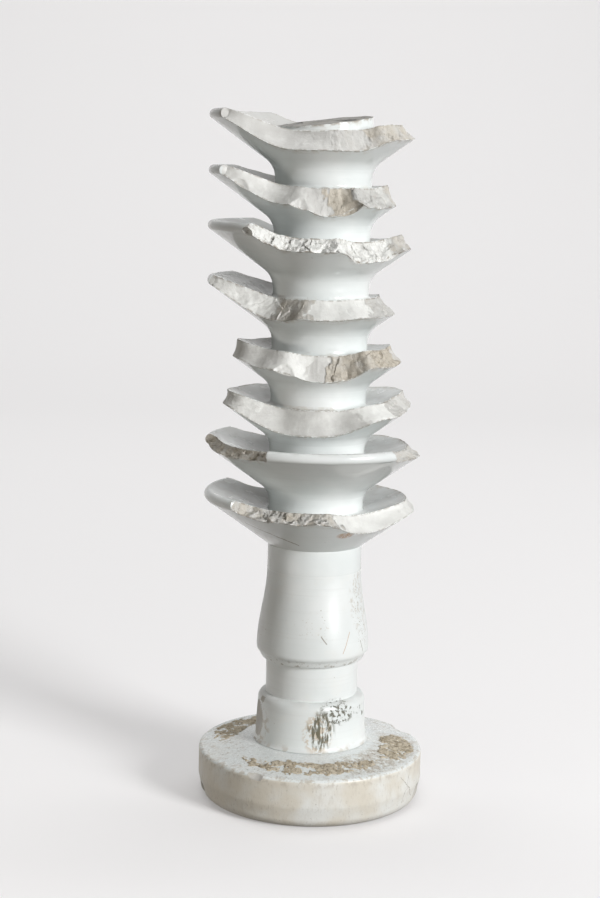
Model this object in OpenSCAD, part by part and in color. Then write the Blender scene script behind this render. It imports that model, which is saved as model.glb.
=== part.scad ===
// Long-rod porcelain insulator, broken in service, standing on its head flange.
// Millimetres. Z up. The origin is the centre of the flange's lower face.
// Azimuths run from the front (-Y) through the right (+X), in degrees.

/* [Body] */
// radius of the solid core
core_r = 42.5; // [38:0.5:46]
// radius of a whole shed at its rim
shed_r = 100.5; // [94:0.5:110]
// height from one shed to the next
shed_pitch = 47.8; // [46:0.2:56]
// height of the middle of the broken top above the top shed's crease
stub_h = 10.4; // [10.4:0.2:12]
// rise of the broken top face to the right, in degrees
stub_tilt = 7; // [0:1:7]
// rise of the broken top face to the back, in degrees
stub_lean = 4; // [0:1:4]

/* [Head] */
// radius of the head flange
flange_r = 102; // [98:1:112]
// height of the flange at its rim
flange_h = 45; // [38:1:52]
// radius of the collar at its foot
collar_r = 50.5; // [49:0.5:56]
// radius of the neck
neck_r = 41.7; // [36:0.1:42]
// largest radius of the bell
bell_r = 50.8; // [48:0.2:56]

/* [Cement] */
// thickness of the cement left on the flange
cement_t = 2; // [1:0.5:4]

/* [Hidden] */
round_n = 96;
arc_n = 8;
shed_count = 8;
cement_n = 12;

// head heights
flange_edge = 3;
flange_foot = 20;
flange_top = flange_h + 8;
collar_shoulder = 90;
shoulder_r = collar_r - 1.9 - neck_r;
collar_top = collar_shoulder + shoulder_r;
neck_top = 130;
bell_top = 212;
trunk_foot = 234.4;

// shed section, heights measured from the lip's lower edge
lip_ref_r = shed_r - 1.8;
lip_r = 4.6;
lip_x = shed_r - lip_r;
lip_z = 1.8;
under_slope = 0.75;
upper_slope = 0.371;
under_corner = -(lip_ref_r - core_r) * under_slope;
under_fillet = 20;
upper_corner = -13;
upper_fillet = 3;
bottom_ref = trunk_foot - under_corner;

cream = [0.80, 0.81, 0.80];
white = [0.86, 0.88, 0.90];
sand = [0.66, 0.58, 0.46];

function shed_z(k) = bottom_ref + (shed_count - k) * shed_pitch;
function under_z(r) = -(lip_ref_r - r) * under_slope;
function upper_z(r) = upper_corner + (r - core_r) * upper_slope;
function flange_z(r) = flange_h + (flange_r - flange_edge - r) * 8 / (flange_r - flange_edge - collar_r);
function at(az, r) = [r * sin(az), -r * cos(az)];
function arc(x, z, r, a, b) =
    [for (i = [0:arc_n]) let (t = a + (b - a) * i / arc_n) [x + r * cos(t), z + r * sin(t)]];

// angle and tangent length of the hollow under a shed
under_a = atan(under_slope);
under_t = under_fillet * tan((90 - under_a) / 2);
hollow_x = core_r + under_fillet;
hollow_z = under_corner - under_t;
cut_a = 155;
cut_r = hollow_x + under_fillet * cos(cut_a);
cut_z = hollow_z + under_fillet * sin(cut_a);

// small fillet where a shed's upper side meets the core
upper_a = atan(upper_slope);
upper_t = upper_fillet / tan((90 - upper_a) / 2);
crown_x = core_r + upper_fillet;
crown_z = upper_corner + upper_t;
root_top = crown_z;

// one shed's section: lower side, rounded lip, upper side, root
function lower_side(k) = k == shed_count
    ? [[0, under_corner], [core_r, under_corner]]
    : concat([[0, cut_z]], arc(hollow_x, hollow_z, under_fillet, cut_a, 90 + under_a));
function shed_section(k) = concat(
    lower_side(k),
    arc(lip_x, lip_z, lip_r, -70, 104),
    arc(crown_x, crown_z, upper_fillet, 270 + upper_a, 180),
    [[0, root_top]]
);

// Shell-shaped bites out of each shed, from the top shed down: [azimuth of the middle, half the
// width in degrees, depth as a share of the shed's width, how far the broken face slopes back].
bites = [
    [[-15, 45, 0.65, 16], [20, 35, 0.65, 12], [60, 50, 0.4, 12], [145, 65, 0.7, 8]],
    [[-25, 35, 0.6, 16], [5, 25, 0.85, 8], [55, 45, 0.65, 16], [140, 95, 0.7, 8]],
    [[-5, 35, 0.4, 16], [40, 30, 0.6, 12], [75, 25, 0.3, 12], [145, 80, 0.65, 8]],
    [[-40, 35, 0.7, 16], [5, 40, 0.65, 16], [45, 30, 0.6, 16], [75, 35, 0.6, 16], [150, 85, 0.75, 8]],
    [[-85, 45, 0.4, 4], [-35, 40, 0.55, 12], [5, 40, 0.8, 8], [70, 45, 0.5, 12],
        [150, 70, 0.65, 8], [225, 60, 0.5, 8]],
    [[-95, 60, 0.25, 4], [-10, 60, 0.8, 12], [60, 45, 0.4, 16], [105, 40, 0.25, 8],
        [180, 70, 0.4, 8], [240, 45, 0.35, 4]],
    [[-60, 35, 0.1, 8], [65, 30, 0.1, 12], [100, 35, 0.15, 12], [130, 40, 0.2, 8], [185, 50, 0.45, 8]],
    [[-15, 35, 0.2, 16], [40, 30, 0.5, 12], [85, 40, 0.2, 8], [130, 50, 0.2, 8], [195, 45, 0.45, 8]]
];
// degrees between the corners of a break, and a radius outside every shed
break_step = 9;
outside = 118;
// degrees that neighbouring broken faces share
mitre = 0.4;
// least width left beside the core, and the rim's share that a bite must reach to show
root_left = 2.5;
least_bite = 0.02;

function off(a, b) = let (d = abs(a - b) % 360) min(d, 360 - d);
function depth(bite, az) = bite[2] * max(0, 1 - pow(off(az, bite[0]) / bite[1], 4));
function deepest(k, az) = max([for (b = bites[k - 1]) depth(b, az)]);
function slope_back(k, az) = max([for (b = bites[k - 1]) depth(b, az) == deepest(k, az) ? b[3] : 0]);
// one corner of what is left: [azimuth, radius at the lower side, slope-back]
function corner(k, az) =
    let (deep = deepest(k, az), r = shed_r - deep * (shed_r - core_r))
    deep < least_bite ? [az, outside, 0] : [az, r, min(slope_back(k, az), r - core_r - root_left)];

// one sloping break face along the edge from a to b, mitred to the sector between them
module break_face(a, b) {
    p = at(a[0], a[1]);
    q = at(b[0], b[1]);
    r = (a[1] + b[1]) / 2;
    back = (a[2] + b[2]) / 2;
    turn = atan2(q[1] - p[1], q[0] - p[0]);
    foot = under_z(r);
    lean = atan2(back, upper_z(r - back) - foot);
    intersection() {
        translate([(p[0] + q[0]) / 2, (p[1] + q[1]) / 2, foot])
            rotate([-lean, 0, turn])
                translate([-60, -90, -4])
                    cube([120, 90, 60]);
        translate([0, 0, -70])
            linear_extrude(height = 100)
                polygon([[0, 0], at(a[0] - mitre, outside), at(b[0] + mitre, outside)]);
    }
}

module shed(k) {
    rows = [for (az = [0:break_step:359]) corner(k, az)];
    count = len(rows);
    color(white)
        translate([0, 0, shed_z(k)])
            difference() {
                intersection() {
                    rotate_extrude($fn = round_n)
                        polygon(shed_section(k));
                    translate([0, 0, -70])
                        linear_extrude(height = 90)
                            polygon([for (p = rows) at(p[0], p[1])]);
                }
                for (i = [0:count - 1])
                    if (max(rows[i][1], rows[(i + 1) % count][1]) < outside)
                        break_face(rows[i], i + 1 < count ? rows[i + 1] : rows[0] + [360, 0, 0]);
            }
}

// core between the shed below and shed k, with the start of the hollow under shed k
module trunk(k) {
    low = shed_z(k + 1) + root_top;
    color(white)
        rotate_extrude($fn = round_n)
            polygon(concat(
                [[0, low], [core_r, low]],
                [for (p = arc(hollow_x, hollow_z, under_fillet, 180, cut_a)) p + [0, shed_z(k)]],
                [[0, shed_z(k) + cut_z]]
            ));
}

// plain core between the bell and the lowest shed
module trunk_foot_part() {
    color(white)
        translate([0, 0, bell_top])
            cylinder(h = trunk_foot - bell_top, r = core_r, $fn = round_n);
}

module broken_top() {
    low = shed_z(1) + root_top;
    mid = shed_z(1) + upper_corner + stub_h;
    color(white)
        difference() {
            translate([0, 0, low])
                cylinder(h = 20, r = core_r, $fn = round_n);
            translate([0, 0, mid])
                rotate([stub_lean, -stub_tilt, 0])
                    translate([-80, -80, 0])
                        cube([160, 160, 60]);
        }
}

module bell_skirt() {
    lift = bell_r - core_r;
    color(white)
        rotate_extrude($fn = round_n)
            polygon(concat(
                [[0, neck_top], [bell_r - 4.5, neck_top]],
                arc(bell_r - 4.5, neck_top + 9, 4.5, -60, 0),
                [for (i = [1:12]) [
                    core_r + lift * (1 + cos(180 * i / 12)) / 2,
                    neck_top + 9 + (bell_top - neck_top - 9) * i / 12
                ]],
                [[0, bell_top]]
            ));
}

module neck() {
    color(white)
        translate([0, 0, collar_top])
            cylinder(h = neck_top - collar_top, r = neck_r, $fn = round_n);
}

module collar() {
    color(white)
        rotate_extrude($fn = round_n)
            polygon(concat(
                [[0, flange_top], [collar_r, flange_top]],
                arc(neck_r, collar_shoulder, shoulder_r, 0, 90),
                [[0, collar_top]]
            ));
}

module base_flange() {
    color(cream)
        rotate_extrude($fn = round_n)
            polygon(concat(
                [[0, 0]],
                arc(flange_r - 12, 10, 10, -90, 0),
                [[flange_r, flange_foot]],
                arc(flange_r - flange_edge, flange_h - flange_edge, flange_edge, 0, 90),
                [[collar_r, flange_top], [0, flange_top]]
            ));
}

// cement left on the flange's sloping top: a wavy band between two azimuths, rounded at its ends
module cement_patch(from, to, middle_r, half_w) {
    inner = collar_r + 2;
    outer = flange_r - flange_edge;
    side = [for (i = [0:cement_n]) let (u = 2 * i / cement_n - 1) [
        from + (to - from) * i / cement_n,
        half_w * (1 - pow(u, 4)) * (1 + 0.08 * sin(i * 110)) + 0.5
    ]];
    color(sand)
        intersection() {
            rotate_extrude($fn = round_n)
                polygon([
                    [inner, flange_z(inner)],
                    [outer, flange_z(outer)],
                    [outer, flange_z(outer) + cement_t],
                    [inner, flange_z(inner) + cement_t]
                ]);
            translate([0, 0, flange_h - 10])
                linear_extrude(height = 40)
                    polygon(concat(
                        [for (p = side) at(p[0], middle_r + p[1])],
                        [for (i = [cement_n:-1:0]) at(side[i][0], middle_r - side[i][1])]
                    ));
        }
}

base_flange();
collar();
neck();
bell_skirt();
trunk_foot_part();  // trunk_8
trunk(7);  // trunk_7
trunk(6);  // trunk_6
trunk(5);  // trunk_5
trunk(4);  // trunk_4
trunk(3);  // trunk_3
trunk(2);  // trunk_2
trunk(1);  // trunk_1
shed(8);  // shed_8
shed(7);  // shed_7
shed(6);  // shed_6
shed(5);  // shed_5
shed(4);  // shed_4
shed(3);  // shed_3
shed(2);  // shed_2
shed(1);  // shed_1
broken_top();
cement_patch(-50, 50, 80, 10);  // cement_front
cement_patch(55, 105, 80, 15);  // cement_right
cement_patch(-150, -85, 80, 15);  // cement_back_left
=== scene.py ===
"""Looks for the broken long-rod porcelain insulator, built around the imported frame."""

import math

import bpy
import numpy as np
from mathutils import Matrix, Vector
from mathutils.bvhtree import BVHTree


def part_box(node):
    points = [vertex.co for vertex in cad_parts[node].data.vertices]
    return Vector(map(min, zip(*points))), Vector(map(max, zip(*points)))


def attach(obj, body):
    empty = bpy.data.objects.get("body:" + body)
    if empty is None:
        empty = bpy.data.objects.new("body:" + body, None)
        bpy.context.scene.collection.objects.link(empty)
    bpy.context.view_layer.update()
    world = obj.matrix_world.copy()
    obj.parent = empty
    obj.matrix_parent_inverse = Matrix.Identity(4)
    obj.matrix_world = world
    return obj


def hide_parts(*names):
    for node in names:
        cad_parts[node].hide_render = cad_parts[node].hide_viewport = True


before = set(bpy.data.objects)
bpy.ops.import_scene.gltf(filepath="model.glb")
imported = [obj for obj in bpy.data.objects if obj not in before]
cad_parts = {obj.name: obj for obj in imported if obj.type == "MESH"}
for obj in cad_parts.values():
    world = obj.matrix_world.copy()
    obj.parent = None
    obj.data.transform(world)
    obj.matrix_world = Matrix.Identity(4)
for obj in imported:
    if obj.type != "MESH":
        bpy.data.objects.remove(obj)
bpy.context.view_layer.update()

# Lengths are in millimetres until a mesh is made. Azimuths run from the front (-Y)
# through the right (+X), in degrees.
MM = 0.001
COLUMNS = 900
ROW = 1.0
# edges sharper than this, in degrees, aren't smoothed over
SHARP_ANGLE = 38
# how far a piece runs on inside its neighbour, and how far below the surface
TUCK = 0.8
TUCK_DEPTH = 0.06
# the distance from a break that means there is none nearby
NO_EDGE = 60.0
# the length of broken face that the rows between a shed's two sides are set out for
FACE_LENGTH = 24

# ---------------------------------------------------------------- sizes, from the frame


def low(node):
    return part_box(node)[0][2] / MM


def high(node):
    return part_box(node)[1][2] / MM


CORE_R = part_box("trunk_8")[1][0] / MM
NECK_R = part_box("neck")[1][0] / MM
BELL_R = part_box("bell_skirt")[1][0] / MM
COLLAR_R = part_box("collar")[1][0] / MM
FLANGE_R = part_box("base_flange")[1][0] / MM
FLANGE_H = high("base_flange") - 8
COLLAR_LEAN = 1.9
COLLAR_ROUND = COLLAR_R - COLLAR_LEAN - NECK_R
COLLAR_SHOULDER = high("collar") - COLLAR_ROUND

SHEDS = 8
RIM_R = 100.5
LIP_R = 4.6
LIP_X = RIM_R - LIP_R
LIP_Z = 1.8
UNDER_SLOPE = 0.75
UPPER_SLOPE = 0.371
UNDER_CORNER = -(RIM_R - 1.8 - CORE_R) * UNDER_SLOPE
UPPER_CORNER = -13
HOLLOW_R = 20
CROWN_R = 3
CUT_ANGLE = 155
UNDER_ANGLE = math.degrees(math.atan(UNDER_SLOPE))
UPPER_ANGLE = math.degrees(math.atan(UPPER_SLOPE))
HOLLOW_X = CORE_R + HOLLOW_R
HOLLOW_Z = UNDER_CORNER - HOLLOW_R * math.tan(math.radians(90 - UNDER_ANGLE) / 2)
CUT_Z = HOLLOW_Z + HOLLOW_R * math.sin(math.radians(CUT_ANGLE))
CROWN_X = CORE_R + CROWN_R
CROWN_Z = UPPER_CORNER + CROWN_R / math.tan(math.radians(90 - UPPER_ANGLE) / 2)


def shed_z(k):
    """Height of the lower edge of shed k's lip."""
    return low(f"shed_{k}") - (UNDER_CORNER if k == SHEDS else CUT_Z)


def arc(x, z, radius, start, end, count=12):
    a = np.radians(np.linspace(start, end, count))
    return np.stack([x + radius * np.cos(a), z + radius * np.sin(a)], axis=1)


# ---------------------------------------------------------------- noise for broken clay


def noise(points, size, seed):
    """Smooth noise from -1 to 1 that changes over `size` mm."""
    table = np.random.default_rng(seed).uniform(-1, 1, (32, 32, 32))
    place = points / size
    base = np.floor(place).astype(int)
    part = place - base
    part = part * part * (3 - 2 * part)
    total = np.zeros(points.shape[:-1])
    for corner in np.ndindex(2, 2, 2):
        weight = np.prod(np.where(corner, part, 1 - part), axis=-1)
        i = (base + corner) % 32
        total += weight * table[i[..., 0], i[..., 1], i[..., 2]]
    return total


def facets(points, size, seed):
    """Flat tilted facets about `size` mm across, from -1 to 1."""
    rng = np.random.default_rng(seed)
    shift = rng.uniform(0.1, 0.9, (16, 16, 16, 3))
    tilt = rng.normal(0, 1, (16, 16, 16, 3))
    step = rng.uniform(-0.5, 0.5, (16, 16, 16))
    base = np.floor(points / size).astype(int)
    nearest = np.full(points.shape[:-1], np.inf)
    lift = np.zeros(points.shape[:-1])
    for corner in np.ndindex(3, 3, 3):
        cell = base + corner - 1
        i = tuple((cell % 16)[..., a] for a in range(3))
        away = points / size - cell - shift[i]
        distance = np.sum(away * away, axis=-1)
        closer = distance < nearest
        nearest = np.where(closer, distance, nearest)
        lift = np.where(closer, np.sum(away * tilt[i], axis=-1) + step[i], lift)
    return np.clip(lift, -1.6, 1.6) / 1.6


def smooth_step(x, start, end):
    t = np.clip((x - start) / (end - start), 0, 1)
    return t * t * (3 - 2 * t)


# ---------------------------------------------------------------- meshes

azimuths = np.arange(COLUMNS) * 360.0 / COLUMNS - 180.0
SIN = np.sin(np.radians(azimuths))
COS = np.cos(np.radians(azimuths))


def ring_points(r, z):
    """Points at radii r and heights z, given as rows x columns."""
    r = np.broadcast_to(r, (r.shape[0], COLUMNS))
    z = np.broadcast_to(z, (z.shape[0], COLUMNS))
    return np.stack([r * SIN, -r * COS, z], axis=-1)


def lathe(path):
    return ring_points(path[:, :1], path[:, 1:])


def lengths(path):
    """The distance along a path to each of its points."""
    return np.concatenate([[0], np.cumsum(np.hypot(*np.diff(path, axis=0).T))])


def spread(path):
    """A section path, resampled to even steps along its length."""
    path = np.asarray(path, float)
    along = lengths(path)
    count = max(2, int(round(along[-1] / (ROW * 1.6))) + 1)
    s = np.linspace(0, along[-1], count)
    return np.stack([np.interp(s, along, path[:, 0]), np.interp(s, along, path[:, 1])], axis=1)


def piece(name, points, materials, face_material=None, facts=None):
    """A closed solid from rows of ring points, capped at both ends.

    The facts are values at each point that the finishes read: from_edge is mm from the
    nearest break, and ragged and stain run from 0 to 1."""
    rows = points.shape[0]
    grid = np.arange(rows * COLUMNS).reshape(rows, COLUMNS)
    right = np.roll(grid, -1, axis=1)
    quads = np.stack([grid[:-1], right[:-1], right[1:], grid[1:]], axis=-1).reshape(-1, 4)
    first, last = rows * COLUMNS, rows * COLUMNS + 1
    caps = [(int(right[0, c]), int(grid[0, c]), first) for c in range(COLUMNS)]
    caps += [(int(grid[-1, c]), int(right[-1, c]), last) for c in range(COLUMNS)]
    middle = [[0, 0, points[0, :, 2].mean()], [0, 0, points[-1, :, 2].mean()]]
    vertices = np.concatenate([points.reshape(-1, 3), middle]) * MM
    mesh = bpy.data.meshes.new(name)
    mesh.from_pydata(vertices.tolist(), [], quads.tolist() + caps)
    for material in materials:
        mesh.materials.append(material)
    if face_material is not None:
        index = np.zeros(len(mesh.polygons), dtype=np.int32)
        index[: len(quads)] = face_material.reshape(-1)
        mesh.polygons.foreach_set("material_index", index)
    for fact, values in (facts or {}).items():
        layer = mesh.attributes.new(fact, "FLOAT", "POINT")
        layer.data.foreach_set("value", np.append(values.reshape(-1), [0, 0]).astype(np.float32))
    mesh.polygons.foreach_set("use_smooth", np.ones(len(mesh.polygons), dtype=bool))
    mesh.set_sharp_from_angle(angle=math.radians(SHARP_ANGLE))
    mesh.update()
    thing = bpy.data.objects.new(name, mesh)
    bpy.context.scene.collection.objects.link(thing)
    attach(thing, "root")
    return thing


def tucked(path, start=True, end=True):
    """The path with a short step at each end that hides inside the next piece."""
    path = np.asarray(path, float)
    ends = []
    if start:
        way = path[0] - path[1]
        ends.append(path[0] + way / np.hypot(*way) * TUCK - [TUCK_DEPTH, 0])
    ends.extend(path)
    if end:
        way = path[-1] - path[-2]
        ends.append(path[-1] + way / np.hypot(*way) * TUCK - [TUCK_DEPTH, 0])
    return np.array(ends)


def scar(points, azimuth, radius, height, width, depth, rise, turn):
    """Presses a shell-shaped scar into the points, and says which ones it reached.

    The scar is `width` mm across and `depth` mm deep at the place given, and opens
    outwards, raised by `rise` degrees and turned by `turn` degrees from the azimuth."""
    ball = (width * width / 4 + depth * depth) / (2 * depth)
    a, b, e = math.radians(azimuth), math.radians(azimuth + turn), math.radians(rise)
    place = np.array([radius * math.sin(a), -radius * math.cos(a), height])
    out = np.array([math.cos(e) * math.sin(b), -math.cos(e) * math.cos(b), math.sin(e)])
    middle = place + out * (ball - depth)
    away = points - middle
    distance = np.linalg.norm(away, axis=-1)
    wobble = ball + 0.12 * depth * noise(points, width / 5, 7) + 0.05 * depth * noise(points, 1.7, 8)
    reached = distance < wobble
    points[reached] = middle + away[reached] / distance[reached][:, None] * wobble[reached][:, None]
    return reached


def any_corner(mask):
    """True for each quad that has a marked corner."""
    right = np.roll(mask, -1, axis=1)
    return mask[:-1] | mask[1:] | right[:-1] | right[1:]


def solid_of(node):
    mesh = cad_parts[node].data
    vertices = [v.co / MM for v in mesh.vertices]
    return BVHTree.FromPolygons(vertices, [p.vertices[:] for p in mesh.polygons])


# ---------------------------------------------------------------- shader expressions


class Socket:
    """A node's output that can be used in Python arithmetic."""

    def __init__(self, finish, output):
        self.finish = finish
        self.output = output

    def math(self, operation, *others):
        inputs = dict(enumerate((self,) + others))
        return self.finish.node("Math", {"operation": operation}, inputs)

    def __add__(self, other):
        return self.math("ADD", other)

    def __radd__(self, other):
        return self.math("ADD", other)

    def __sub__(self, other):
        return self.math("SUBTRACT", other)

    def __rsub__(self, other):
        return self.finish.node("Math", {"operation": "SUBTRACT"}, {0: other, 1: self})

    def __mul__(self, other):
        return self.math("MULTIPLY", other)

    def __rmul__(self, other):
        return self.math("MULTIPLY", other)

    def __truediv__(self, other):
        return self.math("DIVIDE", other)

    def __neg__(self):
        return self.math("MULTIPLY", -1.0)

    def size(self):
        return self.math("ABSOLUTE")

    def most(self, other):
        return self.math("MAXIMUM", other)


class Finish:
    """A material with one shader, built from nodes by expressions."""

    def __init__(self, name, **constants):
        self.material = bpy.data.materials.new(name)
        self.material.use_nodes = True
        self.tree = self.material.node_tree
        self.shader = self.tree.nodes["Principled BSDF"]
        for socket, value in constants.items():
            self.shader.inputs[socket.replace("_", " ")].default_value = value
        place = self.node("TexCoord", output="Object")
        self.place = self.vector("SCALE", place, Scale=1 / MM)
        apart = self.node("SeparateXYZ", inputs={0: self.place}).output.node
        self.x, self.y, self.z = (Socket(self, output) for output in apart.outputs)
        self.azimuth = self.x.math("ARCTAN2", -self.y) * math.degrees(1)
        self.radius = (self.x * self.x + self.y * self.y).math("SQRT")
        facing = self.node("NewGeometry", output="Normal")
        self.up = Socket(self, self.node("SeparateXYZ", inputs={0: facing}).output.node.outputs["Z"])

    def node(self, kind, settings=None, inputs=None, output=0):
        node = self.tree.nodes.new("ShaderNode" + kind)
        for name, value in (settings or {}).items():
            setattr(node, name, value)
        for name, value in (inputs or {}).items():
            if isinstance(value, Socket):
                self.tree.links.new(value.output, node.inputs[name])
            else:
                node.inputs[name].default_value = value
        return Socket(self, node.outputs[output])

    def vector(self, operation, a, b=None, **named):
        inputs = {0: a, **named}
        if b is not None:
            inputs[1] = b
        return self.node("VectorMath", {"operation": operation}, inputs)

    def stretched(self, x=1.0, y=1.0, z=1.0):
        """Places with each axis stretched, for grain that runs one way."""
        return self.vector("MULTIPLY", self.place, (1 / x, 1 / y, 1 / z))

    def grain(self, size, detail=2.0, rough=0.5, place=None, bend=0.0):
        """Noise from 0 to 1 that changes over `size` mm."""
        inputs = {"Vector": place or self.place, "Scale": 1 / size, "Detail": detail,
                  "Roughness": rough, "Distortion": bend}
        return self.node("TexNoise", inputs=inputs)

    def cells(self, size, feature="F1", place=None):
        inputs = {"Vector": place or self.place, "Scale": 1 / size}
        return self.node("TexVoronoi", {"feature": feature}, inputs, "Distance")

    def between(self, value, start, end):
        """0 below start, 1 above end, smooth between; start may be above end."""
        settings = {"interpolation_type": "SMOOTHSTEP"}
        inputs = {"Value": value, "From Min": start, "From Max": end, "To Min": 0.0, "To Max": 1.0}
        if start > end:
            inputs.update({"From Min": end, "From Max": start, "To Min": 1.0, "To Max": 0.0})
        return self.node("MapRange", settings, inputs)

    def mix(self, share, first, second):
        inputs = {0: share, 6: first, 7: second}
        return self.node("Mix", {"data_type": "RGBA"}, inputs, 2)

    def fact(self, name):
        return self.node("Attribute", {"attribute_name": name}, output="Fac")

    def patch(self, azimuth, height, wide, tall):
        """1 in the middle of an oval on the wall, 0 outside it; sizes in degrees and mm."""
        across = (self.azimuth - azimuth) / wide
        along = (self.z - height) / tall
        return self.between(across * across + along * along, 1.0, 0.35)

    def hairline(self, radius, start, end, thick=0.35, wander=2.0):
        """A thin wandering line on the wall from start to end, each (azimuth, height)."""
        arc_mm = math.radians(1) * radius
        run, climb = (end[0] - start[0]) * arc_mm, end[1] - start[1]
        length = math.hypot(run, climb)
        across = (self.azimuth - start[0]) * arc_mm
        along = self.z - start[1]
        on = (across * run + along * climb) / length
        off = (across * climb - along * run) / length
        off = off + (self.grain(9) - 0.5) * wander + (self.grain(2.5) - 0.5) * wander * 0.3
        inside = self.between(on, 0.0, 1.5) * self.between(on, length, length - 1.5)
        return self.between(off.size(), thick, thick * 0.3) * inside

    def bump(self, height):
        """Relief with its height in mm."""
        self.set("Normal", self.node("Bump", inputs={"Height": height, "Distance": MM, "Strength": 1.0}))

    def set(self, socket, value):
        self.tree.links.new(value.output, self.shader.inputs[socket])


def rgb(r, g, b):
    return (r, g, b, 1.0)


BLUE_WHITE = rgb(0.735, 0.77, 0.765)
COLD_WHITE = rgb(0.805, 0.83, 0.825)
MILK = rgb(0.78, 0.785, 0.755)
CREAM = rgb(0.685, 0.645, 0.56)
DUST_AND_SHADE_GREY = rgb(0.50, 0.49, 0.46)
CLAY = rgb(0.55, 0.545, 0.525)
CHALK = rgb(0.81, 0.815, 0.79)
BEIGE = rgb(0.53, 0.49, 0.42)
BROWN = rgb(0.25, 0.21, 0.16)
LICHEN = rgb(0.10, 0.095, 0.055)
RUST = rgb(0.50, 0.30, 0.16)
DIRT_AND_SHADE_GREY = rgb(0.19, 0.19, 0.185)


def glaze_colour(f):
    """Bluish glaze, a little uneven, with a grey film on upward faces that is partly dust and partly painted
    shade, and more painted shade on the top shed's upward faces.
    """
    cloud = f.grain(55, 3)
    rings = f.grain(2.2, 2, place=f.stretched(40, 40, 1))
    colour = f.mix(f.between(cloud, 0.35, 0.65), BLUE_WHITE, COLD_WHITE)
    colour = f.mix(f.between(rings, 0.52, 0.75) * 0.07, colour, DUST_AND_SHADE_GREY)
    # a patchy grey film on upward faces: partly dust, partly painted shade
    dust_and_shade_film = f.between(f.up, 0.2, 0.9) * f.between(f.grain(14, 4), 0.30, 0.70) * 0.34
    colour = f.mix(dust_and_shade_film, colour, DUST_AND_SHADE_GREY)
    # painted shade: the upward faces of the top shed darkened towards grey
    top_shed_painted_shade = f.between(f.up, 0.2, 0.9) * f.between(f.z, low("shed_1") + 20, low("shed_1") + 36)
    colour = f.mix(top_shed_painted_shade * 0.6, colour, DUST_AND_SHADE_GREY)
    pits = f.between(f.cells(7.5), 0.075, 0.045) * f.between(f.grain(26, 2), 0.52, 0.6)
    return f.mix(pits * 0.65, colour, BROWN)


def glaze_gloss(f):
    return 0.08 + f.between(f.grain(18, 3), 0.4, 0.75) * 0.12 + f.between(f.up, 0.4, 0.9) * 0.12


def glaze_relief(f):
    """Turning marks and the slight orange-peel of a thick glaze."""
    marks = f.grain(3.4, 2, place=f.stretched(60, 60, 1))
    return marks * 0.022 + f.grain(9, 2) * 0.10 + f.grain(2.6, 1) * 0.012


def shed_glaze():
    f = Finish("shed_glaze", IOR=1.52)
    colour = glaze_colour(f)
    edge = f.fact("from_edge")
    grime = f.between(edge, 2.8, 0.0) * f.between(f.grain(5, 4, 0.65), 0.44, 0.56)
    halo = f.between(edge, 9.0, 0.0) * f.between(f.grain(9, 4, 0.6), 0.44, 0.68) * 0.55
    colour = f.mix(halo, colour, BEIGE)
    colour = f.mix(grime * 0.8, colour, BROWN)
    crack = f.hairline(66, (-52, low("shed_8") + 27), (-15, low("shed_8") + 7), 0.75, 3.0)
    colour = f.mix(crack * 0.9, colour, BROWN)
    rust = f.patch(21, low("shed_8") + 20.5, 7, 4) * f.between(f.grain(2, 4, 0.65), 0.40, 0.50)
    colour = f.mix(rust * 0.85, colour, RUST)
    f.set("Base Color", colour)
    f.set("Roughness", glaze_gloss(f) + grime * 0.3)
    f.bump(glaze_relief(f) + f.between(edge, 0.5, 0.0) * 0.05)
    return f.material


def broken_clay(name, dirt_and_shade):
    """Bare fired clay on the broken faces: white, grey, beige or stained brown, darkened towards a dark grey
    by an amount of dirt and painted shade.
    """
    f = Finish(name, IOR=1.45)
    tone = f.fact("stain")
    edge = f.fact("from_edge")
    ragged = f.fact("ragged")
    blotch = f.grain(12, 4, 0.6)
    tone = tone + (blotch - 0.5) * (0.3 + ragged * 0.6)
    colour = f.mix(f.between(tone, 0.0, 0.30), CHALK, CLAY)
    colour = f.mix(f.between(tone, 0.28, 0.62), colour, BEIGE)
    dirt = f.between(f.grain(3.2, 5, 0.7), 0.50, 0.68) * f.between(tone, 0.25, 0.85)
    colour = f.mix(dirt * 0.85, colour, BROWN)
    skin = f.between(edge, 0.9, 0.25)
    colour = f.mix(skin * 0.7, colour, COLD_WHITE)
    # dirt and painted shade: the clay darkened patchily towards a dark grey by the given amount
    dirt_and_shade_blotch = f.between(f.grain(18, 4, 0.6), 0.35, 0.65)
    colour = f.mix(dirt_and_shade * (0.65 + dirt_and_shade_blotch * 0.35), colour, DIRT_AND_SHADE_GREY)
    line = f.between(edge, 1.8, 0.1) * f.between(f.grain(4, 4, 0.7), 0.44, 0.56)
    colour = f.mix(line * (0.55 + ragged * 0.4), colour, BROWN)
    creases = f.between(f.cells(6, "DISTANCE_TO_EDGE"), 0.06, 0.0) * ragged
    colour = f.mix(creases * f.between(f.grain(5, 3), 0.45, 0.6) * 0.6, colour, BROWN)
    f.set("Base Color", colour)
    f.set("Roughness", 0.45 + ragged * 0.3 + f.between(blotch, 0.4, 0.7) * 0.1)
    ripples = f.grain(4.5, 2, place=f.stretched(3, 3, 0.8), bend=0.6)
    crumbs = f.grain(1.3, 4, 0.7) * (0.12 + ragged * 0.5)
    chips = f.cells(5.5, place=f.stretched(1, 1, 1.6)) * ragged * 1.3
    f.bump(ripples * 0.25 + crumbs + chips + f.grain(5, 3) * ragged * 0.9)
    return f.material


# ---------------------------------------------------------------- sheds

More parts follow.
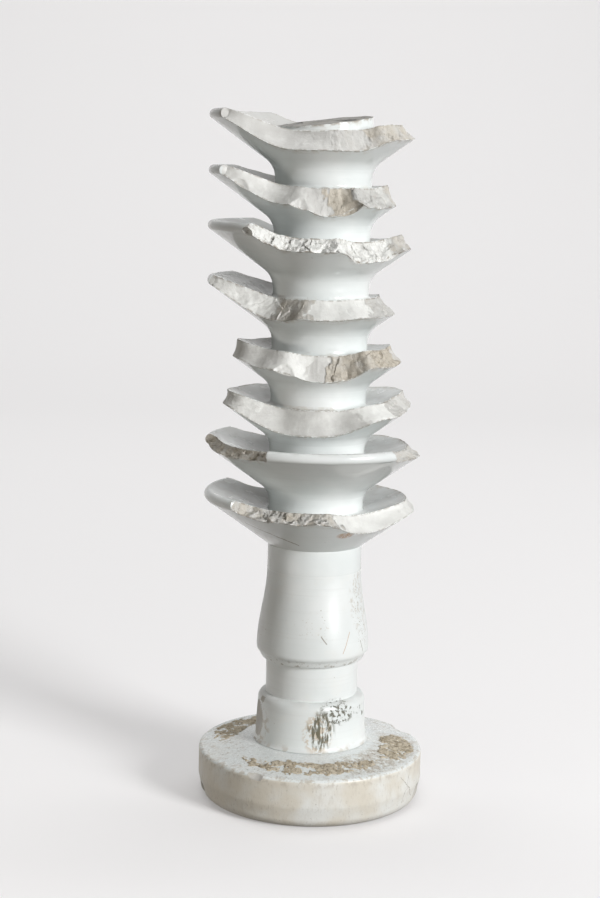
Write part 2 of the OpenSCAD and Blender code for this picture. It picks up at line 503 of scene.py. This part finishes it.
# How each broken edge looks: from azimuth, to azimuth, raggedness, stain.
BREAKS = {
    1: [(-70, 5, 0.08, 0.25), (5, 35, 0.25, 0.30), (35, 100, 0.5, 0.45)],
    2: [(-65, -20, 0.1, 0.18), (-20, 5, 0.15, 0.25), (5, 30, 0.3, 0.60), (30, 80, 0.6, 0.25)],
    3: [(-45, 65, 0.85, 0.08), (65, 115, 0.6, 0.40)],
    4: [(-75, -45, 0.3, 0.15), (-45, -10, 0.35, 0.42), (-10, 45, 0.12, 0.08), (45, 110, 0.5, 0.30)],
    5: [(-110, -35, 0.08, 0.15), (-35, -10, 0.1, 0.05), (-10, 10, 0.12, 0.22), (10, 45, 0.55, 0.55),
        (45, 90, 0.85, 0.75)],
    6: [(-110, -60, 0.25, 0.15), (-60, 35, 0.06, 0.18), (35, 65, 0.12, 0.05), (65, 120, 0.5, 0.30)],
    7: [(-95, -25, 0.7, 0.50), (35, 95, 0.65, 0.35)],
    8: [(-60, 15, 0.85, 0.40), (15, 75, 0.05, 0.10), (75, 105, 0.15, 0.15)],
}
REST_RAGGED, REST_STAIN = 0.4, 0.4

# Shell-shaped scars, placed from the break's lower edge: azimuth, how far out from the edge,
# how far up from it, width, depth, rise, turn.
SCARS = {
    1: [(10, 5, 10, 36, 5.5, 25, 5), (60, 0, 8, 20, 2.5, 10, 0)],
    2: [(-10, 5, 8, 32, 6, 15, -5), (15, 3, 4, 26, 5, 0, 5), (-50, 5, 4, 12, 1.5, 25, 0)],
    3: [(30, 2, 4, 24, 4, -5, 10), (55, 2, 3, 16, 3, -10, 0), (-40, 0, 0, 9, 2.5, 10, 0)],
    4: [(-60, 10, 10, 30, 7, 60, 30), (-30, 0, 8, 22, 4, 30, 0), (-15, 0, 8, 16, 4, 10, 10)],
    5: [(-20, 4, 6, 30, 5, 15, -10), (20, 3, 6, 22, 4, 10, 0), (50, 2, 6, 26, 4, 15, 0)],
    6: [(50, 4, 6, 34, 3.5, 20, 0), (85, 2, 5, 14, 2, 20, 0)],
    7: [(-55, 1, 2, 18, 2.5, 15, 0), (50, 2, 3, 16, 2, 20, 0), (70, 1, 2, 20, 3, 10, 0)],
    8: [(-30, 1, 3, 20, 4, 20, 0), (-10, 1, 4, 22, 4, 20, 0), (5, 1, 4, 18, 3.5, 15, 0)],
}


def along_break(k, column, azimuth):
    """The break's raggedness (0) or stain (1) at each azimuth, eased from stretch to stretch."""
    rest = (REST_RAGGED, REST_STAIN)[column]
    values = np.full(azimuth.shape, rest)
    for start, end, *look in BREAKS[k]:
        share = smooth_step(azimuth, start - 2, start + 1) * (1 - smooth_step(azimuth, end - 1, end + 2))
        values = values * (1 - share) + look[column] * share
    return values


def eased(values, width):
    """The values blurred along the azimuth by about `width` degrees."""
    offset = (np.arange(COLUMNS) + COLUMNS // 2) % COLUMNS - COLUMNS // 2
    weight = np.exp(-0.5 * (offset * 360 / COLUMNS / width) ** 2)
    return np.real(np.fft.ifft(np.fft.fft(values) * np.fft.fft(weight / weight.sum())))


def reach(solid, z0, height, slope):
    """How far out a shed's solid reaches at each azimuth, along a sloping line."""
    start = 130.0
    found = np.zeros(COLUMNS)
    for c in range(COLUMNS):
        origin = Vector((start * SIN[c], -start * COS[c], z0 + height + slope * (start - CORE_R)))
        inward = Vector((-SIN[c], COS[c], -slope)).normalized()
        hit = solid.ray_cast(origin, inward)[0]
        found[c] = math.hypot(hit.x, hit.y) if hit else CORE_R + 3
    return found


def shed_paths(k):
    """The lower side, from the core out, and the upper side, from the lip in."""
    if k == SHEDS:
        lower = [[CORE_R, UNDER_CORNER]]
    else:
        lower = list(arc(HOLLOW_X, HOLLOW_Z, HOLLOW_R, CUT_ANGLE, 90 + UNDER_ANGLE))
    lip = arc(LIP_X, LIP_Z, LIP_R, -70, 104, 24)
    upper = [lip[-1]] + list(arc(CROWN_X, CROWN_Z, CROWN_R, 270 + UPPER_ANGLE, 180, 8))
    return np.array(lower + [lip[0]]), lip, np.array(upper)


def break_edges(k, lower, lip, ragged):
    """How far out the lower and the upper side reach at each azimuth, and where they are broken."""
    solid = solid_of(f"shed_{k}")
    out_low = reach(solid, shed_z(k), UNDER_CORNER + 0.5, UNDER_SLOPE)
    out_up = reach(solid, shed_z(k), UPPER_CORNER - 0.4, UPPER_SLOPE)
    free = smooth_step(eased(ragged, 4), 0.1, 0.6)
    out_low = eased(out_low, 4.0) * (1 - free) + eased(out_low, 1.4) * free
    out_up = eased(out_up, 4.0) * (1 - free) + eased(out_up, 1.4) * free
    cut = np.maximum(lip[0][0] - out_low, lip[-1][0] - out_up - 0.5)
    broken = smooth_step(cut, 0.2, 1.0)

    place = np.stack([SIN * 70, COS * 70, np.full(COLUMNS, 40.0 * k)], axis=-1)
    wander = noise(place, 11, k) * 1.6 + noise(place, 4.5, 20 + k) * 0.9
    wander += noise(place, 1.8, 40 + k) * 0.3
    wander_up = noise(place + 300, 8, k) * 1.2 + noise(place + 300, 2.5, 60 + k) * 0.35
    low_r = np.minimum(out_low + broken * wander * (0.06 + ragged), lip[0][0])
    up_r = np.minimum(out_up + broken * wander_up * (0.05 + ragged), lip[-1][0])
    low_r = np.maximum(low_r, lower[0][0] + 2.5)
    return low_r, np.clip(up_r, CORE_R + 0.4, low_r + 3), broken


def side_rows(path, start, end):
    """Rows along one side of a shed, between two distances along its path at each azimuth."""
    along = lengths(path)
    rows = int(along[-1] / (ROW * 2.2))
    s = start + np.linspace(0, 1, rows)[:, None] * (end - start)
    return np.interp(s, along, path[:, 0]), np.interp(s, along, path[:, 1])


def lip_rows(k, from_low, to_up, lip, broken, ragged):
    """Rows from the lower side's edge to the upper one's, over the lip or over the broken face."""
    t = np.linspace(0, 1, int(FACE_LENGTH / ROW) + 1)[1:-1, None]
    along = lengths(lip)
    (r_low, z_low), (r_up, z_up) = from_low, to_up
    r_lip = np.interp(t * along[-1], along, lip[:, 0])
    z_lip = np.interp(t * along[-1], along, lip[:, 1])
    r = r_lip * (1 - broken) + (r_low * (1 - t) + r_up * t) * broken
    z = z_lip * (1 - broken) + (z_low * (1 - t) + z_up * t) * broken

    face = ring_points(r, z + shed_z(k))
    width = np.hypot(r_low - r_up, z_low - z_up)
    inside = np.minimum(t, 1 - t) * width
    push = facets(face, 13, k) * 2.6 * ragged + facets(face, 5, 30 + k) * 1.2 * ragged
    rough = noise(face, 2.2, 50 + k) * 0.5 * ragged + noise(face, 16, 70 + k) * 0.9
    push += rough - 1.1 * np.sin(math.pi * t)
    push *= np.minimum(inside, 2.5) / 2.5 * broken
    run, climb = (r_low - r_up) / width, (z_low - z_up) / width
    return r - push * climb, z + push * run, inside


def framed(rows, first, last):
    """The rows with one more row before them and one after, each of a single value."""
    return np.concatenate([np.full((1, COLUMNS), first), rows, np.full((1, COLUMNS), last)])


def broken_quads(k, points, start, count, broken):
    """Marks the quads of the broken face, with ends that wander along the rim."""
    band = points[start : start + count]
    slant = noise(band, 7, 95 + k) * 3.5 + noise(band, 2.5, 97 + k) * 1.2
    marked = np.zeros((points.shape[0] - 1, COLUMNS), dtype=bool)
    marked[start : start + count] = np.interp(azimuths + slant, azimuths, broken, period=360) > 0.1
    marked[start : start + count] |= broken > 0.05
    return marked


def make_shed(k, glaze, clay):
    z0 = shed_z(k)
    lower, lip, upper = shed_paths(k)
    ragged = along_break(k, 0, azimuths)
    low_r, up_r, broken = break_edges(k, lower, lip, ragged)
    s_low, s_up = lengths(lower), lengths(upper)
    r_low, z_low = side_rows(lower, 0, np.interp(low_r, lower[:, 0], s_low))
    r_up, z_up = side_rows(upper, np.interp(-up_r, -upper[:, 0], s_up), s_up[-1])
    r_mid, z_mid, edge_mid = lip_rows(k, (r_low[-1], z_low[-1]), (r_up[0], z_up[0]), lip, broken, ragged)

    if k == SHEDS:
        root = [CORE_R - 0.04, z0 + UNDER_CORNER - TUCK]
    else:
        behind = CUT_ANGLE + 2.3
        root = arc(HOLLOW_X, z0 + HOLLOW_Z, HOLLOW_R + 0.03, behind, behind, 1)[0]
    z_all = np.concatenate([z_low, z_mid, z_up]) + z0
    r_all = framed(np.concatenate([r_low, r_mid, r_up]), root[0], CORE_R - TUCK_DEPTH)
    points = ring_points(r_all, framed(z_all, root[1], z_all[-1, 0] + TUCK))
    edge_low = np.hypot(r_low - r_low[-1], z_low - z_low[-1])
    edge_up = np.hypot(r_up - r_up[0], z_up - z_up[0])
    from_edge = np.concatenate([edge_low, edge_mid, edge_up]) + (1 - broken) * NO_EDGE
    from_edge = framed(from_edge, NO_EDGE, NO_EDGE)

    is_face = broken_quads(k, points, r_low.shape[0], r_mid.shape[0] + 1, broken)
    for azimuth, out, up, wide, depth, rise, turn in SCARS[k]:
        column = round((azimuth - azimuths[0]) * COLUMNS / 360) % COLUMNS
        radius, height = low_r[column] + out, z0 + z_low[-1, column] + up
        reached = scar(points, azimuth, radius, height, wide, depth, rise, turn)
        is_face |= any_corner(reached)
        from_edge = np.where(reached, np.minimum(from_edge, 30), from_edge)
    wandering = azimuths + noise(points, 9, 80 + k) * 9 + noise(points, 3.5, 90 + k) * 5
    facts = {
        "from_edge": from_edge,
        "ragged": along_break(k, 0, wandering),
        "stain": along_break(k, 1, wandering),
    }
    thing = piece(f"shed_{k}_porcelain", points, [glaze, clay], is_face.astype(np.int32), facts)
    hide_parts(f"shed_{k}")


def make_core(k, glaze):
    """The core below shed k, flaring into the hollow under it."""
    node = f"trunk_{k}"
    if k == SHEDS:
        path = [[CORE_R, low(node)], [CORE_R, high(node)]]
    else:
        flare = arc(HOLLOW_X, shed_z(k) + HOLLOW_Z, HOLLOW_R, 180, CUT_ANGLE, 8)
        path = [[CORE_R, low(node)]] + list(flare)
    points = lathe(tucked(spread(path)))
    facts = {"from_edge": np.full(points.shape[:2], NO_EDGE)}
    thing = piece(f"{node}_porcelain", points, [glaze], facts=facts)
    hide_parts(node)


# ---------------------------------------------------------------- broken top


def make_broken_top(glaze, clay):
    """A short stub of the core, broken off at a slope."""
    node = "broken_top"
    solid = solid_of(node)
    foot = low(node)
    rows = 44
    share = np.linspace(1, 0.02, rows)[:, None]
    r = np.broadcast_to(CORE_R * share, (rows, COLUMNS))
    flat = ring_points(r, np.zeros((rows, COLUMNS)))

    def level(x, y):
        return solid.ray_cast(Vector((x, y, foot + 60)), Vector((0, 0, -1)))[0].z

    out = 30
    to_right = (level(out, 0) - level(-out, 0)) / (2 * out)
    to_back = (level(0, out) - level(0, -out)) / (2 * out)
    z = level(0, 0) + to_right * flat[..., 0] + to_back * flat[..., 1]
    inside = smooth_step(1 - share, 0, 0.12)
    z = z + facets(flat, 22, 5) * 0.7 * inside + noise(flat, 7, 6) * 0.35 * inside + noise(flat, 2, 9) * 0.12
    z = np.maximum(z + noise(flat + 50, 9, 3) * 0.4 * (1 - inside), foot + 0.3)
    wall_rows = 8
    up = np.linspace(0, 1, wall_rows)[:, None]
    wall_z = foot + (z[0] - foot) * up
    wall = ring_points(np.full((wall_rows, COLUMNS), CORE_R), wall_z)
    tuck = ring_points(np.full((1, COLUMNS), CORE_R - TUCK_DEPTH), np.full((1, COLUMNS), foot - TUCK))
    top = np.concatenate([tuck, wall, np.stack([flat[1:, :, 0], flat[1:, :, 1], z[1:]], axis=-1)])
    is_face = np.zeros((top.shape[0] - 1, COLUMNS), dtype=bool)
    is_face[wall_rows:] = True
    edge = np.full(top.shape[:2], NO_EDGE)
    edge[wall_rows:] = CORE_R - r
    edge[1 : wall_rows + 1] = z[0] - wall_z
    look = np.full(top.shape[:2], 1.0)
    facts = {"from_edge": edge, "ragged": look * 0.15, "stain": look * 0.45}
    thing = piece("broken_top_porcelain", top, [glaze, clay], is_face.astype(np.int32), facts)
    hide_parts(node)


# ---------------------------------------------------------------- head


def bell_path():
    foot, top = low("bell_skirt"), high("bell_skirt")
    lift = BELL_R - CORE_R
    t = np.linspace(0, 1, 30)[1:]
    side = np.stack([CORE_R + lift * (1 + np.cos(math.pi * t)) / 2, foot + 9 + (top - foot - 9) * t], axis=1)
    lip = arc(BELL_R - 4.5, foot + 9, 4.5, -60, 0, 10)
    under = [[NECK_R - 0.4, foot], [BELL_R - 4.5, foot]]
    return np.array(under + list(lip) + list(side))


def collar_path():
    foot = high("base_flange")
    swell = arc(COLLAR_R + 4.2, foot + 3.6, 4.2, 240, 180, 8)
    return np.array(list(swell) + [[COLLAR_R - COLLAR_LEAN, COLLAR_SHOULDER]] +
                    list(arc(NECK_R, COLLAR_SHOULDER, COLLAR_ROUND, 0, 84, 16)))


def flange_path():
    edge = FLANGE_R - 3
    return np.array([[40, 0]] + list(arc(FLANGE_R - 12, 10, 10, -90, 0, 16)) + [[FLANGE_R, 20]] +
                    list(arc(edge, FLANGE_H - 3, 3, 0, 82, 10)) + [[COLLAR_R - 1, high("base_flange")]])


def flange_z(r):
    return FLANGE_H + (FLANGE_R - 3 - r) * 8 / (FLANGE_R - 3 - COLLAR_R)


def make_turned(node, path, scars, glaze, clay, start=True, end=True):
    points = lathe(tucked(spread(path), start, end))
    reached = np.zeros(points.shape[:2], dtype=bool)
    for values in scars:
        reached |= scar(points, *values)
    look = np.ones(points.shape[:2])
    facts = {"from_edge": look * 40, "ragged": look * 0.25, "stain": look * REST_STAIN}
    thing = piece(f"{node}_porcelain", points, [glaze, clay], any_corner(reached).astype(np.int32), facts)
    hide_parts(node)


def head_glaze():
    """Glaze of the bell, neck and collar, with growth and stains low on the front."""
    f = Finish("head_glaze", IOR=1.52)
    colour = glaze_colour(f)
    smudge = f.between(f.grain(22, 4, 0.6), 0.50, 0.70)
    colour = f.mix(smudge * 0.35, colour, MILK)
    streaks = f.grain(3.4, 4, 0.65, place=f.stretched(1, 1, 5))
    spots = f.grain(3.6, 5, 0.7)
    growth = f.patch(11, 73, 17, 21) * f.between(streaks, 0.47, 0.55)
    growth = growth.most(f.patch(30, 88, 26, 13) * f.between(spots, 0.53, 0.56))
    growth = growth.most(f.patch(66, 84, 14, 7) * f.between(spots, 0.58, 0.62))
    rust = f.patch(7, 70, 18, 22) * f.between(f.grain(4, 4, 0.65), 0.46, 0.57)
    colour = f.mix(rust * 0.65, colour, rgb(0.50, 0.38, 0.25))
    left = f.patch(-62, 68, 16, 20) * f.between(f.grain(6, 4, 0.65), 0.50, 0.62)
    colour = f.mix(left * 0.7, colour, BEIGE)
    foot = f.between(f.z, high("base_flange") + 7, high("base_flange")) * f.between(f.grain(7, 4), 0.5, 0.66)
    colour = f.mix(foot * 0.6, colour, BEIGE)
    colour = f.mix(growth * 0.88, colour, LICHEN)
    run = f.patch(66, 186, 24, 34) * f.between(f.grain(3.2, 5, 0.7, place=f.stretched(1, 1, 1.8)), 0.51, 0.60)
    run = run.most(f.patch(5, 168, 30, 16) * f.between(f.grain(3, 5, 0.7), 0.60, 0.66))
    colour = f.mix(run * 0.6, colour, BEIGE)
    specks = f.patch(68, 176, 22, 44) * f.between(f.grain(1.5, 3, 0.6), 0.60, 0.66)
    colour = f.mix(specks * 0.75, colour, BROWN)
    bell_foot = low("bell_skirt")
    hem = f.between(f.z, bell_foot + 9, bell_foot) * f.between(f.z, bell_foot - 1.5, bell_foot - 0.5)
    hem = hem * f.between(f.grain(5, 4, 0.65), 0.52, 0.62)
    colour = f.mix(hem * 0.6, colour, BROWN)
    scratch = f.hairline(BELL_R, (42, 162), (32, 142), 0.45, 0.8)
    colour = f.mix(scratch * 0.8, colour, RUST)
    ticks = f.hairline(BELL_R, (58, 152), (64, 139), 0.5, 1.5)
    ticks = ticks.most(f.hairline(BELL_R, (8, 160), (15, 152), 0.7, 1.5))
    colour = f.mix(ticks * 0.8, colour, BROWN)
    f.set("Base Color", colour)
    f.set("Roughness", glaze_gloss(f) + 0.20 + growth * 0.5 + rust * 0.3)
    f.bump(glaze_relief(f) + growth * 0.35 + rust * 0.15)
    return f.material


def flange_glaze():
    """The flange: glazed on top, cream and rubbed matt on its side, with rain streaks."""
    f = Finish("flange_glaze", IOR=1.5)
    top = f.between(f.up, 0.25, 0.6)
    side = f.mix(f.between(f.grain(30, 4), 0.35, 0.7), CREAM, MILK)
    streaks = f.grain(6, 5, 0.65, place=f.stretched(1, 1, 3))
    side = f.mix(f.between(streaks, 0.50, 0.72) * 0.35, side, BEIGE)
    fine = f.grain(1.6, 4, 0.7, place=f.stretched(1, 1, 3))
    side = f.mix(f.between(fine, 0.56, 0.75) * 0.4, side, BROWN)
    foot = f.between(f.z + f.grain(9, 4) * 10, 16, 4)
    side = f.mix(foot * 0.45, side, BEIGE)
    lit = f.mix(f.between(f.grain(20, 4), 0.4, 0.7) * 0.5, BLUE_WHITE, MILK)
    lit = f.mix(f.between(f.grain(6, 5, 0.65), 0.52, 0.72) * 0.5, lit, DUST_AND_SHADE_GREY)
    ring = f.between(f.radius, 60, 78) * f.between(f.grain(8, 5, 0.65), 0.50, 0.66)
    lit = f.mix(ring * 0.6, lit, BEIGE)
    scuff = f.between(f.grain(3, 5, 0.7), 0.55, 0.66) * f.between(f.radius, 56, 72)
    lit = f.mix(scuff * 0.45, lit, BROWN)
    sector = f.between(f.azimuth, 12, 34) * f.between(f.azimuth, 112, 96)
    residue = sector * f.between(f.radius, 57, 66) * f.between(f.radius, 99, 92)
    crumbs = residue * f.between(f.grain(7, 5, 0.7), 0.44, 0.54)
    lit = f.mix(crumbs * 0.75, lit, BEIGE)
    lit = f.mix(crumbs * f.between(f.grain(1.8, 4, 0.7), 0.50, 0.60) * 0.8, lit, BROWN)
    rim = f.between(f.radius, FLANGE_R - 5, FLANGE_R - 2) * f.between(f.z, FLANGE_H - 9, FLANGE_H - 3)
    colour = f.mix(top, side, lit)
    wear = rim * f.between(f.grain(6, 4, 0.6), 0.48, 0.6)
    colour = f.mix(wear * 0.65, colour, BEIGE)
    flecks = f.between(f.cells(6), 0.10, 0.05) * f.between(f.grain(16, 2), 0.5, 0.58)
    colour = f.mix(flecks * 0.7, colour, BROWN)
    cracks = f.hairline(FLANGE_R, (52, 37), (66, 12), 0.4, 7.0)
    cracks = cracks.most(f.hairline(FLANGE_R, (60, 36), (56, 10), 0.35, 9.0))
    colour = f.mix(cracks * 0.75, colour, BROWN)
    f.set("Base Color", colour)
    f.set("Roughness", 0.42 - top * 0.18 + f.between(fine, 0.5, 0.7) * 0.15)
    f.bump(f.grain(4, 4, 0.6) * 0.16 + fine * 0.06 + f.grain(14, 2) * 0.2)
    return f.material


# ---------------------------------------------------------------- cement


def cement():
    f = Finish("cement_crust", Roughness=0.9)
    colour = f.mix(f.between(f.grain(6, 5, 0.7), 0.35, 0.65), rgb(0.36, 0.30, 0.21), rgb(0.64, 0.57, 0.45))
    sand = f.between(f.cells(1.1), 0.42, 0.2)
    colour = f.mix(sand * 0.45, colour, rgb(0.68, 0.63, 0.54))
    pits = f.between(f.grain(2.4, 4, 0.7), 0.56, 0.64)
    colour = f.mix(pits * 0.8, colour, rgb(0.12, 0.10, 0.08))
    f.set("Base Color", colour)
    f.bump(f.grain(1.2, 5, 0.75) * 0.9 + sand * 0.15)
    return f.material


def blurred(mask, across, along):
    """The mask, averaged over a window of columns and rows."""
    total = np.zeros(mask.shape)
    for i in range(-across, across + 1):
        total += np.roll(mask, i, axis=1)
    total /= 2 * across + 1
    result = np.zeros(mask.shape)
    for i in range(-along, along + 1):
        result += np.roll(total, i, axis=0)
    return result / (2 * along + 1)


def make_cement(node, material, seed):
    """A thin crust, thick and thin in islands, over the ground its solid covers."""
    solid = solid_of(node)
    radii = np.arange(COLLAR_R + 1, FLANGE_R - 1.5, 0.7)
    mask = np.zeros((len(radii), COLUMNS))
    for i, r in enumerate(radii):
        for c in range(COLUMNS):
            down = solid.ray_cast(Vector((r * SIN[c], -r * COS[c], 90)), Vector((0, 0, -1)))
            mask[i, c] = down[0] is not None
    depth = blurred(mask, max(1, COLUMNS // 130), 4)
    r = np.broadcast_to(radii[:, None], mask.shape)
    ground = ring_points(r, flange_z(r))
    islands = noise(ground, 13, seed) * 0.45 + noise(ground, 5, seed + 1) * 0.5
    islands = islands + noise(ground, 2.2, seed + 2) * 0.5
    thick = np.where(depth > 0.15, depth * 1.8 - 1.25 + islands * 2.1, -1.0)
    crust = np.minimum(np.maximum(thick, -0.5), 0.9) * 0.85
    crust += noise(ground, 1.4, seed + 3) * 0.25 * (thick > 0)
    points = ground.copy()
    points[..., 2] += np.where(thick > 0, 0.1 + crust, -0.5)
    corners = any_corner(thick > 0)
    grid = np.arange(mask.size).reshape(mask.shape)
    right = np.roll(grid, -1, axis=1)
    top = np.stack([grid[:-1], right[:-1], right[1:], grid[1:]], axis=-1)[corners]
    used, places = np.unique(top, return_inverse=True)
    mesh = bpy.data.meshes.new(node)
    count = len(used)
    upper = points.reshape(-1, 3)[used]
    lower = ground.reshape(-1, 3)[used] - [0, 0, 0.9]
    faces = places.reshape(-1, 4)
    sides = closing_faces(faces, count)
    mesh.from_pydata((np.concatenate([upper, lower]) * MM).tolist(), [],
                     faces.tolist() + (faces[:, ::-1] + count).tolist() + sides)
    mesh.materials.append(material)
    mesh.polygons.foreach_set("use_smooth", np.ones(len(mesh.polygons), dtype=bool))
    mesh.set_sharp_from_angle(angle=math.radians(50))
    thing = bpy.data.objects.new(f"{node}_crust", mesh)
    bpy.context.scene.collection.objects.link(thing)
    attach(thing, "root")
    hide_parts(node)


def closing_faces(faces, count):
    """Side walls along every edge that only one face uses."""
    seen = {}
    for face in faces.tolist():
        for a, b in zip(face, face[1:] + face[:1]):
            seen[(a, b)] = True
    return [(b, a, a + count, b + count) for a, b in seen if (b, a) not in seen]


# ---------------------------------------------------------------- build the object

glaze = shed_glaze()
clay = broken_clay("broken_clay", 0.0)
# the broken top's clay, darkened 0.8 towards dark grey for its dirt and painted shade, as its face turns from
# the light
core_clay = broken_clay("broken_core_clay", 0.8)
head = head_glaze()
flange = flange_glaze()
crust = cement()

for k in range(1, SHEDS + 1):
    make_shed(k, glaze, clay)
    make_core(k, glaze)
make_broken_top(glaze, core_clay)

make_turned("bell_skirt", bell_path(),
            [(6, BELL_R - 2, 130, 9, 1.8, -35, 0), (-35, BELL_R - 2, 130.5, 6, 0.8, -35, 0),
             (70, BELL_R - 2, 131, 7, 1.0, -30, 0)],
            head, clay, start=False)
make_turned("neck", [[NECK_R, low("neck")], [NECK_R, high("neck")]], [], head, clay)
make_turned("collar", collar_path(),
            [(-75, COLLAR_R + 1, 74, 40, 5.0, 0, 0), (-66, COLLAR_R, 92, 16, 2.5, 30, 0)],
            head, clay, start=False)
make_turned("base_flange", flange_path(),
            [(-76, FLANGE_R - 2, 7, 20, 4.5, -25, 0), (74, FLANGE_R - 2, 12, 16, 3.0, -15, 0),
             (120, FLANGE_R - 2, FLANGE_H, 34, 4.0, 45, 0), (-28, FLANGE_R - 1, FLANGE_H - 2, 11, 1.0, 45, 0),
             (160, FLANGE_R - 2, 5, 26, 4.0, -35, 0)],
            flange, clay, start=False, end=False)
for seed, node in enumerate(("cement_front", "cement_right", "cement_back_left")):
    make_cement(node, crust, 100 + seed * 10)

# ---------------------------------------------------------------- stage, light and camera


def studio_floor():
    """A pale floor that curves up into a backdrop."""
    bend, back, wide, tall = 3.5, 6.0, 14.0, 8.0
    side = [(-6.0, 0.0), (back - bend, 0.0)]
    for a in np.radians(range(6, 91, 6)):
        side.append((back - bend + bend * math.sin(a), bend - bend * math.cos(a)))
    side += [(back, tall)]
    vertices = [(x, y, z) for x in (-wide, wide) for y, z in side]
    count = len(side)
    faces = [(i, i + 1, count + i + 1, count + i) for i in range(count - 1)]
    mesh = bpy.data.meshes.new("studio_floor")
    mesh.from_pydata(vertices, [], faces)
    mesh.polygons.foreach_set("use_smooth", np.ones(len(mesh.polygons), dtype=bool))
    f = Finish("studio_paper", Roughness=0.95, Base_Color=rgb(0.665, 0.657, 0.66),
               Emission_Color=rgb(0.99, 0.98, 0.985), Emission_Strength=0.25)
    mesh.materials.append(f.material)
    floor = bpy.data.objects.new("studio_floor", mesh)
    bpy.context.scene.collection.objects.link(floor)
    floor.visible_diffuse = False


def soft_box(name, place, target, size, power, colour=(1.0, 1.0, 1.0)):
    light = bpy.data.lights.new(name, "AREA")
    light.shape = "RECTANGLE"
    light.size, light.size_y = size
    light.energy = power
    light.color = colour
    lamp = bpy.data.objects.new(name, light)
    lamp.location = place
    lamp.rotation_euler = (Vector(target) - Vector(place)).to_track_quat("-Z", "Y").to_euler()
    bpy.context.scene.collection.objects.link(lamp)
    return lamp


studio_floor()
soft_box("window_light", (2.35, -2.3, 1.35), (0, 0, 0.52), (1.0, 1.5), 137)
soft_box("ceiling_light", (-0.3, 0.3, 5.2), (0, 0, 0.3), (4.0, 4.0), 60)
low_fill = soft_box("low_fill", (-0.75, -0.6, 0.10), (0, 0, 0.08), (0.5, 0.3), 2.3, (1.0, 0.96, 0.90))
low_fill.visible_glossy = False
soft_box("backdrop_light", (0.0, 1.6, 4.6), (0, 5.0, 0.8), (6.0, 2.0), 176)


def studio_air():
    """Dim air around the object, with the glow of the floor below it."""
    world = bpy.data.worlds.new("studio_air")
    world.use_nodes = True
    nodes, links = world.node_tree.nodes, world.node_tree.links
    way = nodes.new("ShaderNodeTexCoord")
    apart = nodes.new("ShaderNodeSeparateXYZ")
    ramp = nodes.new("ShaderNodeValToRGB")
    ramp.color_ramp.elements[0].position = 0.0
    ramp.color_ramp.elements[0].color = rgb(0.070, 0.0605, 0.048)
    ramp.color_ramp.elements[1].position = 0.25
    ramp.color_ramp.elements[1].color = rgb(0.031, 0.0275, 0.022)
    links.new(way.outputs["Generated"], apart.inputs[0])
    links.new(apart.outputs["Z"], ramp.inputs[0])
    links.new(ramp.outputs[0], nodes["Background"].inputs["Color"])
    bpy.context.scene.world = world


studio_air()
bpy.context.scene.view_settings.view_transform = "Standard"

camera = bpy.data.cameras.new("camera")
camera.lens = 72
camera.sensor_fit = "VERTICAL"
camera.sensor_height = 36
eye = bpy.data.objects.new("camera", camera)
tilt, roll = math.radians(90 - 9.13), math.radians(1.3)
eye.matrix_world = (Matrix.Translation((-0.01525, -1.58965, 0.57485)) @
                    Matrix.Rotation(tilt, 4, "X") @ Matrix.Rotation(roll, 4, "Z"))
bpy.context.scene.collection.objects.link(eye)
bpy.context.scene.camera = eye

bpy.context.view_layer.update()
